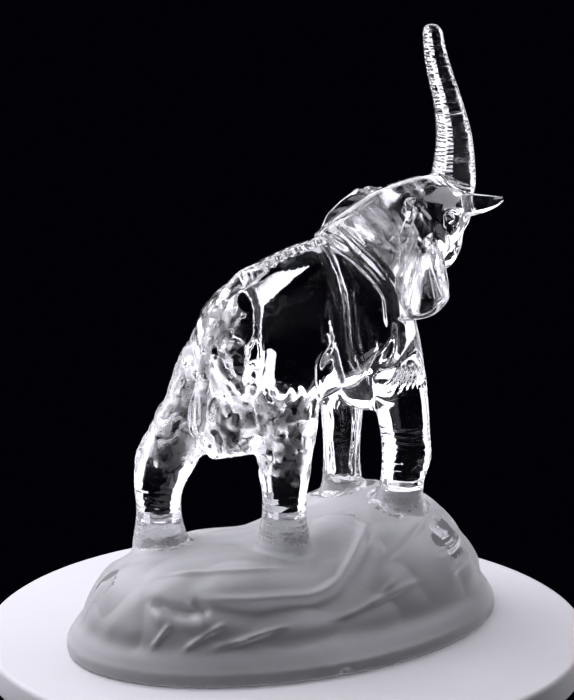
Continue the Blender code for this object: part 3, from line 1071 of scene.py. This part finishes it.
def mound_rings(sides):
    """Ovals from the crown out to the rim, down over it and under its bevel."""
    rings = []
    for share in 1 - (1 - np.linspace(0.04, 1, 40)) ** 1.6:
        length, width = BASE_HALF_LENGTH * share, BASE_HALF_WIDTH * share
        ring = ellipse((0, 0, 0), (0, length, 0), (width, 0, 0), sides)
        ring[:, 2] = mound_height(ring[:, 0], ring[:, 1])
        rings.append(ring)
    for inset, height in ((0, RIM_BEVEL), (RIM_BEVEL * 0.3, RIM_BEVEL * 0.3), (RIM_BEVEL, 0)):
        rings.append(ellipse((0, 0, height), (0, BASE_HALF_LENGTH - inset, 0),
                             (BASE_HALF_WIDTH - inset, 0, 0), sides))
    return rings


def from_feet(points):
    """How far each point is from the nearest ankle's middle line (mm)."""
    return np.min([np.hypot(points[:, 0] - side, points[:, 1] - ahead)
                   for side, ahead, _ in ANKLES.values()], axis=0)


def true_mound(clay):
    """Puts the mound's skin away from the feet back on its exact shape, which the remeshing roughened."""
    side, ahead, up = clay.points.T
    reach = rim_share(side, ahead)
    height = mound_height(side, ahead)
    open_ground = fade(from_feet(clay.points), 15.5, 22) * fade(np.abs(up - height), 1.6, 0.8)
    open_ground *= fade(reach, 0.985, 0.96) * (up > RIM_HEIGHT)
    clay.points[:, 2] += (height - up) * open_ground


# The drapery's lines, as side, ahead, up: its long S ridge, the V fold at the rear, the lip of the
# hollow by the right hind foot, the short strokes low on the sides, and the fine raised streaks
RIDGE = (
    (-28, -58, 30),
    (-34, -47, 30),
    (-38, -34, 30),
    (-40, -17, 30),
    (-39, -4, 31),
    (-35, 6, 33),
    (-30, 14, 36),
    (-25, 22, 39),
    (-24, 29, 42),
)
V_FOLD = ((-18, -70, 25), (-27, -64, 25), (-33, -55, 25), (-28, -58, 28))
HOLLOW_LIP = ((-1, 11, 40), (-15, 19, 40), (-28, 22, 38), (-37, 21, 35))
SHORT_STROKES = (
    ((-34, -66, 10), (-38, -49, 20)),
    ((-26, -75, 10), (-28, -67, 20)),
    ((-44, -50, 15), (-47, -26, 20)),
    ((-47, 8, 20), (-44, 34, 26)),
    ((-40, 52, 25), (-26, 70, 25)),
)
STREAKS = (
    ((-48, -8, 18), (-47, 10, 22), (-42, 24, 27)),
    ((-41, -58, 14), (-45, -44, 17), (-47, -32, 19)),
    ((-38, 20, 33), (-34, 34, 38), (-26, 48, 42)),
    ((-12, -62, 34), (-20, -46, 35), (-26, -34, 35), (-30, -14, 35)),
    ((-36, 44, 30), (-30, 58, 30), (-20, 68, 32)),
)


def model_ground(clay):
    """The drapery of the mound: a long S ridge, cross folds, streaks and the hollow by a hind foot."""
    side, ahead, up = clay.points.T
    from_outside = (-0.5, 0, 0.85)
    ridge = smooth_rows(RIDGE)
    clay.stroke(ridge, 1.7, 2.2, ABOVE)
    clay.stroke(ridge + (-4, 0.5, 0), 3.2, -1.6, ABOVE)
    fold = smooth_rows(V_FOLD, 5)
    clay.stroke(fold, 1.6, -1.7, ABOVE)
    clay.stroke(fold + (-2.5, -2, 0), 2.0, 1.3, ABOVE)
    for route in SHORT_STROKES:
        clay.stroke(route, 1.0, 1.0, from_outside)
    for route in STREAKS:
        clay.stroke(smooth_rows(route), 1.2, 0.9, from_outside)
    clay.stroke(smooth_rows(HOLLOW_LIP), 2.0, 1.8, ABOVE)
    clay.raise_by(-2.2 * bell(np.hypot(side + 23, ahead - 8), 7.0) * (up > 20))
    clay.raise_by(-0.9 * bell(up - 13.5, 3.5) * (rim_share(side, ahead) > 0.8))
    open_ground = fade(from_feet(clay.points), 13, 20) * fade(up, 9, 18)
    drapery = folds(clay.points + 5 * ripple(clay.points, 24, 4)[:, None], (16, 34, 24), 5.3)
    clay.raise_by((1.1 * (drapery - 0.6) + 0.4 * ripple(clay.points, (7, 20, 12), 8)) * open_ground)


def model_ankles(clay):
    """Level wrinkles round the frosted ankles."""
    for k, (side, ahead, frost_line) in enumerate(ANKLES.values()):
        ring_wrinkles(clay, (side, ahead), frost_line - 12, frost_line + 2, 2.4, 0.6, 13, 20 + k)


CHIP = (-60.5, -9.7, 0.6)


def chip_rim(clay):
    """One small chip in the ground edge of the underside, on the right."""
    chip = bell(np.linalg.norm(clay.points - CHIP, axis=1), 2.0)
    clay.points[:, 0] += 1.6 * chip
    clay.points[:, 2] += 1.5 * chip


# Places that are worn almost clear: side, ahead, up and reach
WORN_PLACES = ((-27, 57, 33, 9), (-31, 52, 38, 6), (8, -75, 28, 7), (-14, 22, 39, 5))


def paint_frost(obj):
    """Paints the share of frost on each point, and a painted shade on the thick middle of the mound's
    sides, darker than the rim and the top.

    There is no frost on the bond faces, and it is thinner towards the top of each ankle.
    """
    clay = Clay(obj)
    points, facing_up = clay.points, clay.normals[:, 2]
    side, ahead, up = points.T
    frost = np.ones(len(points))
    for leg_side, leg_ahead, frost_line in ANKLES.values():
        near = np.hypot(side - leg_side, ahead - leg_ahead) < 13.5
        line = frost_line - 2.2 + 2.0 * ripple(points, 6, 3)
        worn = fade(up, line + 1.5, line - 2.5) * (0.42 + 0.58 * fade(up, line - 4, line - 13))
        frost = np.where(near, np.minimum(frost, worn), frost)
        frost = np.where(near & (facing_up > 0.9) & (up > frost_line - 1), 0, frost)
    for *middle, reach in WORN_PLACES:
        away = np.linalg.norm((points - middle) * (1, 1, 0.7), axis=1) + 2.5 * ripple(points, 7, 6)
        frost = np.minimum(frost, fade(away, reach * 0.6, reach * 1.3) * 0.75 + 0.25)
    paint(obj, "frost", frost)
    # painted shade: "depth" is 1 on the thick middle of the mound's sides and 0 at the rim and the top,
    # and darkens the frost colour there
    paint(obj, "depth", fade(up, 9, 15) * fade(up, 36, 24) * fade(rim_share(side, ahead), 0.6, 0.8))


class FIGURINE_OT_base(bpy.types.Operator):
    """Models the frosted mound and the four frosted ankles that stand on it"""

    bl_idname = "figurine.base"
    bl_label = "Base"

    def execute(self, context):
        settings = context.scene.figurine_base
        stumps = []
        for levels, (_, _, frost_line) in zip(LEGS, ANKLES.values()):
            rows = smooth_rows(levels, 8)
            stumps.append([level_ring(row, LIMB_SIDES) for row in rows if row[2] < frost_line + 8])
        base = skin_rings("frosted_base", [mound_rings(128), *stumps])
        apply_modifier(base, "REMESH", mode="VOXEL", voxel_size=settings.voxel)
        clay = Clay(base)
        soft_feet = base.vertex_groups.new(name="near feet")
        near = from_feet(clay.points)
        for index in np.where(near < 26)[0].tolist():
            soft_feet.add([index], float(1 - fade(near[index], 18, 26)), "REPLACE")
        apply_modifier(base, "SMOOTH", factor=0.5, iterations=3)
        apply_modifier(base, "SMOOTH", factor=0.5, iterations=14, vertex_group="near feet")
        base.vertex_groups.clear()
        clay = Clay(base)
        true_mound(clay)
        clay.finish()
        model_ground(clay)
        model_ankles(clay)
        clay.finish()
        chip_rim(clay)
        clay.points[:, 2] = np.maximum(clay.points[:, 2], 0)
        clay.finish()
        for spot in ANKLES.values():
            near, height = around_leg(base, spot)
            cut(base, spot, (0, 0, 1), 0.0, near & (height > spot[2] - CUT_BAND))
        paint_frost(base)
        complete(base, "satin_frost", "base")
        return {"FINISHED"}


# ---------------------------------------------------------------- floor, lights and camera

LAMP_AIM_HEIGHT = 110
# Name, degrees round from the front, degrees above the horizon, distance, size and brightness.
# Straight behind the animal, as the camera sees it, is left dark, so that the crystal shows dark
# with bright edges.
LAMPS = (
    ("lamp_over_left", 131, 45, 0.7, (0.74, 0.6), 8.5),
    ("lamp_front_left", 203, 38, 0.8, (0.6, 0.5), 2.2),
    ("lamp_low_left", 123, -10, 0.6, (0.74, 0.56), 1.5),
    ("lamp_low_right", 8, -24, 0.6, (0.56, 0.42), 1.5),
    ("lamp_behind", 59, 31, 0.8, (1.16, 0.33), 3.4),
    ("lamp_behind_right", 40, 5, 0.7, (0.2, 0.32), 1.3),
    ("lamp_right", 346, 38, 0.7, (0.5, 0.5), 4.5),
)


def round_about(azimuth, elevation, distance):
    """A place this far away, at degrees round from the front and degrees above the horizon."""
    turn, tilt = math.radians(azimuth), math.radians(elevation)
    level = math.cos(tilt)
    return Vector((math.sin(turn) * level, -math.cos(turn) * level, math.sin(tilt))) * distance


def soft_light(name, azimuth, elevation, distance, size, brightness):
    """A soft rectangular lamp aimed at the animal's middle. It isn't seen itself, only its light."""
    data = bpy.data.lights.new(name, "AREA")
    data.shape = "RECTANGLE"
    data.size, data.size_y = size
    data.energy = brightness * math.pi * size[0] * size[1]
    data.color = bpy.context.scene.figurine_stage.lamp_colour
    lamp = bpy.data.objects.new(name, data)
    bpy.context.scene.collection.objects.link(lamp)
    middle = Vector((0, 0, LAMP_AIM_HEIGHT * MM))
    lamp.location = middle + round_about(azimuth, elevation, distance)
    lamp.rotation_euler = (middle - lamp.location).to_track_quat("-Z", "Y").to_euler()
    lamp.visible_camera = False


class FIGURINE_OT_stage(bpy.types.Operator):
    """Sets up the pale round floor, the soft lamps and the camera"""

    bl_idname = "figurine.stage"
    bl_label = "Stage"

    def execute(self, context):
        settings = context.scene.figurine_stage
        bpy.ops.object.select_all(action="DESELECT")
        bpy.ops.mesh.primitive_cylinder_add(vertices=256, radius=settings.floor_radius, depth=0.012,
                                            location=(0, 0, -0.006))
        floor = context.object
        floor.name = "floor"
        bpy.ops.object.transform_apply(location=True)
        apply_modifier(floor, "BEVEL", width=0.002, segments=4)
        floor.data.materials.append(matt_finish("pale_floor", tuple(settings.floor_colour)))
        bpy.ops.object.shade_smooth_by_angle(angle=math.radians(40))

        for name, azimuth, elevation, distance, size, brightness in LAMPS:
            soft_light(name, azimuth, elevation, distance, size, brightness * settings.light)

        world = bpy.data.worlds.new("dark studio")
        context.scene.world = world
        world.use_nodes = True
        world.node_tree.nodes["Background"].inputs["Color"].default_value = (*settings.room_colour, 1)

        data = bpy.data.cameras.new("camera")
        data.lens = settings.camera_lens
        data.clip_start, data.clip_end = 0.05, 20
        camera = bpy.data.objects.new("camera", data)
        context.scene.collection.objects.link(camera)
        camera.location = round_about(
            settings.camera_azimuth, settings.camera_elevation, settings.camera_distance)
        turn = math.radians(settings.camera_azimuth)
        aim = Vector((math.cos(turn), math.sin(turn), 0)) * settings.aim_right
        aim.z = settings.aim_height
        camera.rotation_mode = "QUATERNION"
        camera.rotation_quaternion = (aim - camera.location).to_track_quat("-Z", "Y")
        context.scene.camera = camera
        context.scene.view_settings.view_transform = "Standard"
        return {"FINISHED"}


# ---------------------------------------------------------------- settings, panel and registration

class CastingSettings(bpy.types.PropertyGroup):
    voxel: FloatProperty(
        name="Body detail", description="Grid size of the body's skin, in millimetres",
        default=0.66, min=0.4, max=3)
    head_voxel: FloatProperty(
        name="Head detail", description="Grid size of the head's skin, in millimetres",
        default=0.45, min=0.3, max=3)
    softness: FloatProperty(
        name="Softness", description="How far the creases between limbs are rounded, in mm",
        default=2.8, min=0.5, max=6)


class TrunkSettings(bpy.types.PropertyGroup):
    rows: IntProperty(
        name="Rows", description="Rows of points up the trunk", default=300, min=60, max=600)
    sides: IntProperty(name="Sides", description="Points round the trunk", default=72, min=16, max=160)
    ring_gap: FloatProperty(
        name="Wrinkle spacing", description="Distance between two wrinkles",
        default=0.00165, unit="LENGTH")
    ring_depth: FloatProperty(
        name="Wrinkle depth", description="Depth of a wrinkle", default=0.00046, unit="LENGTH")


class EarSettings(bpy.types.PropertyGroup):
    thickness: FloatProperty(
        name="Thickness", description="Thickness of an ear", default=0.0032, unit="LENGTH")
    pleats: IntProperty(
        name="Pleats", description="Pleats from the root to the edge", default=6, min=0, max=12)
    pleat_depth: FloatProperty(
        name="Pleat depth", description="Half the height of a pleat", default=0.0011, unit="LENGTH")


class BaseSettings(bpy.types.PropertyGroup):
    voxel: FloatProperty(
        name="Base detail", description="Grid size of the base's skin", default=0.0009, unit="LENGTH")


class GlassSettings(bpy.types.PropertyGroup):
    refraction: FloatProperty(
        name="Refraction", description="Refractive index of the crystal", default=1.54)
    clear_colour: FloatVectorProperty(
        name="Clear", description="Colour of the clear crystal", subtype="COLOR",
        default=(0.985, 0.99, 0.995))
    frost_colour: FloatVectorProperty(
        name="Frost", description="Colour of the frosted skin", subtype="COLOR",
        default=(0.93, 0.94, 0.95))
    frost_roughness: FloatProperty(
        name="Frost roughness", description="How far the frost spreads the light",
        default=0.5, min=0, max=1)
    frost_transmission: FloatProperty(
        name="Frost transmission", description="Share of the light that goes on through the frost",
        default=0.75, min=0, max=1)


class StageSettings(bpy.types.PropertyGroup):
    floor_radius: FloatProperty(
        name="Floor radius", description="Radius of the round floor", default=0.118, unit="LENGTH")
    floor_colour: FloatVectorProperty(
        name="Floor", description="Colour of the floor", subtype="COLOR", default=(0.4, 0.4, 0.408))
    room_colour: FloatVectorProperty(
        name="Room", description="Colour of the dark room", subtype="COLOR",
        default=(0.0008, 0.0006, 0.002))
    lamp_colour: FloatVectorProperty(
        name="Lamps", description="Colour of the lamps", subtype="COLOR", default=(0.93, 0.91, 1.0))
    light: FloatProperty(name="Light", description="Strength of all the lamps", default=1.0, min=0)
    camera_azimuth: FloatProperty(
        name="Camera azimuth", description="Degrees round from the front", default=238.83)
    camera_elevation: FloatProperty(
        name="Camera elevation", description="Degrees above the horizon", default=19.86)
    camera_distance: FloatProperty(
        name="Camera distance", description="Distance from the origin", default=1.0763, unit="LENGTH")
    camera_lens: FloatProperty(name="Lens", description="Focal length in millimetres", default=139.9)
    aim_height: FloatProperty(
        name="Aim height", description="Height that the camera looks at",
        default=0.1115, unit="LENGTH")
    aim_right: FloatProperty(
        name="Aim right", description="How far right of the middle the camera looks",
        default=0.00069, unit="LENGTH")


GROUPS = {
    "figurine_casting": CastingSettings,
    "figurine_trunk": TrunkSettings,
    "figurine_ears": EarSettings,
    "figurine_base": BaseSettings,
    "figurine_glass": GlassSettings,
    "figurine_stage": StageSettings,
}
OPERATORS = (
    FIGURINE_OT_stage,
    FIGURINE_OT_base,
    FIGURINE_OT_body,
    FIGURINE_OT_head,
    FIGURINE_OT_trunk,
    FIGURINE_OT_ears,
    FIGURINE_OT_tusks,
    FIGURINE_OT_tail,
)


class FIGURINE_PT_panel(bpy.types.Panel):
    """Lists the settings and the steps that build the figurine"""

    bl_idname = "FIGURINE_PT_panel"
    bl_label = "Crystal elephant"
    bl_space_type = "VIEW_3D"
    bl_region_type = "UI"
    bl_category = "Figurine"

    def draw(self, context):
        for name, group in GROUPS.items():
            box = self.layout.box()
            for label in group.__annotations__:
                box.prop(getattr(context.scene, name), label)
        for operator in OPERATORS:
            self.layout.operator(operator.bl_idname)


def register():
    for group in GROUPS.values():
        bpy.utils.register_class(group)
    for name, group in GROUPS.items():
        setattr(bpy.types.Scene, name, PointerProperty(type=group))
    for cls in (*OPERATORS, FIGURINE_PT_panel):
        bpy.utils.register_class(cls)


def unregister():
    for cls in (FIGURINE_PT_panel, *reversed(OPERATORS)):
        bpy.utils.unregister_class(cls)
    for name, group in GROUPS.items():
        delattr(bpy.types.Scene, name)
        bpy.utils.unregister_class(group)


def main():
    register()
    for operator in OPERATORS:
        family, step = operator.bl_idname.split(".")
        getattr(getattr(bpy.ops, family), step)()


if __name__ == "__main__":
    main()
